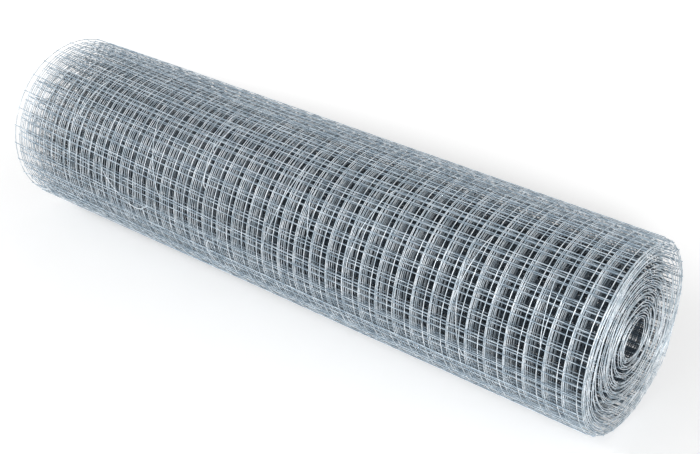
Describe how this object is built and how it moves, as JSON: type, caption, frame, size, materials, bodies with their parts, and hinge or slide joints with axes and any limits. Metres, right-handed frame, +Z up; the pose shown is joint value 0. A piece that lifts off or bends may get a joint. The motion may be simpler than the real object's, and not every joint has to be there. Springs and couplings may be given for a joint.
{
  "type": "roll of welded wire plaster mesh",
  "caption": "Roll of galvanised welded wire plaster mesh with square cells, wound round an open core, lying on its side; unrolled, cut and bedded in render or plaster as reinforcement.",
  "frame": {"origin": "on the floor under the middle of the roll: centre of the box's underside", "axes": "+X along the roll's axis, +Z up, with the roll lying on its outermost turn"},
  "size_m": [0.9138, 0.24, 0.2398],
  "materials": {
    "galvanised_wire": "dull zinc coating"
  },
  "bodies": {
    "root": {"mesh_roll": "galvanised_wire"}
  },
  "joints": []
}
